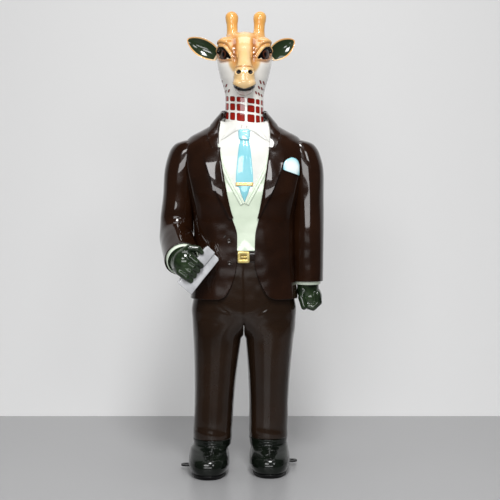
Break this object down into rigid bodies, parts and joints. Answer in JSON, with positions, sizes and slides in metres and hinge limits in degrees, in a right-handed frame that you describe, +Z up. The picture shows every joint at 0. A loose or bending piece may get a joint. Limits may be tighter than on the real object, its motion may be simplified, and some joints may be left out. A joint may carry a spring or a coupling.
{
  "type": "standing giraffe statue",
  "caption": "Life-size glossy display figure of a giraffe standing in a suit, waistcoat and tie, one arm bent over a folded newspaper, with bolt-down lugs beside the shoes.",
  "frame": {"origin": "on the floor, at the centre of the whole figure's box", "axes": "+Z up, the figure faces -Y, and its right hand is towards -X"},
  "size_m": [0.6458, 0.3916, 1.8],
  "materials": {
    "suit": "dark brown gloss lacquer over glass-fibre moulding, painted-on cloth grain",
    "trousers": "dark brown gloss lacquer over glass-fibre moulding",
    "button": "dark brown gloss lacquer",
    "shirt": "white gloss lacquer",
    "waistcoat": "pale mint gloss lacquer",
    "tie": "pale blue gloss lacquer",
    "pocket_square": "pale blue gloss lacquer",
    "clip": "gold paint under gloss lacquer",
    "belt": "near-black brown gloss lacquer",
    "buckle": "gold paint under gloss lacquer",
    "glove": "dark green gloss lacquer",
    "paper": "white and grey gloss lacquer",
    "cuff": "pale mint gloss lacquer",
    "shoe": "green-black gloss lacquer",
    "sole": "black, satin",
    "hide": "hand-painted tan and cream with dark red patches, gloss lacquer",
    "ear": "tan outside, dark green inside, gloss lacquer",
    "horn": "ochre gloss lacquer",
    "eye": "black, highly polished",
    "black_steel": "black painted steel",
    "frame_steel": "grey primed steel",
    "screw": "zinc plated",
    "board": "plywood, unfinished"
  },
  "bodies": {
    "root": {"jacket_back": "suit", "jacket_front_right": "suit", "jacket_front_left": "suit", "jacket_collar": "suit", "lapel_right": "suit", "lapel_left": "suit", "sleeve_right": "suit", "sleeve_left": "suit", "jacket_buttons": "button", "waistcoat": "waistcoat", "shirt_front": "shirt", "shirt_collar": "shirt", "tie_blade": "tie", "tie_knot": "tie", "tie_clip": "clip", "pocket_square": "pocket_square", "trousers_right": "trousers", "trousers_left": "trousers", "belt": "belt", "belt_buckle": "buckle", "cuff_right": "cuff", "cuff_left": "cuff", "hand_right": "glove", "hand_left": "glove", "newspaper": "paper", "shoe_right": "shoe", "shoe_left": "shoe", "tongue_right": "shoe", "tongue_left": "shoe", "sole_right": "sole", "sole_left": "sole", "head_shell": "hide", "ear_right": "ear", "ear_left": "ear", "ossicone_right": "horn", "ossicone_left": "horn", "eye_right": "eye", "eye_left": "eye", "floor_lug_right": "black_steel", "floor_lug_left": "black_steel", "foot_plate_right": "black_steel", "foot_plate_left": "black_steel", "leg_post_right": "frame_steel", "leg_post_left": "frame_steel", "hip_bar": "frame_steel", "spine_tube": "frame_steel", "shoulder_bar": "frame_steel", "arm_rod_right": "frame_steel", "arm_rod_left": "frame_steel", "neck_bulkhead": "board", "sole_screws": "screw"}
  },
  "joints": []
}
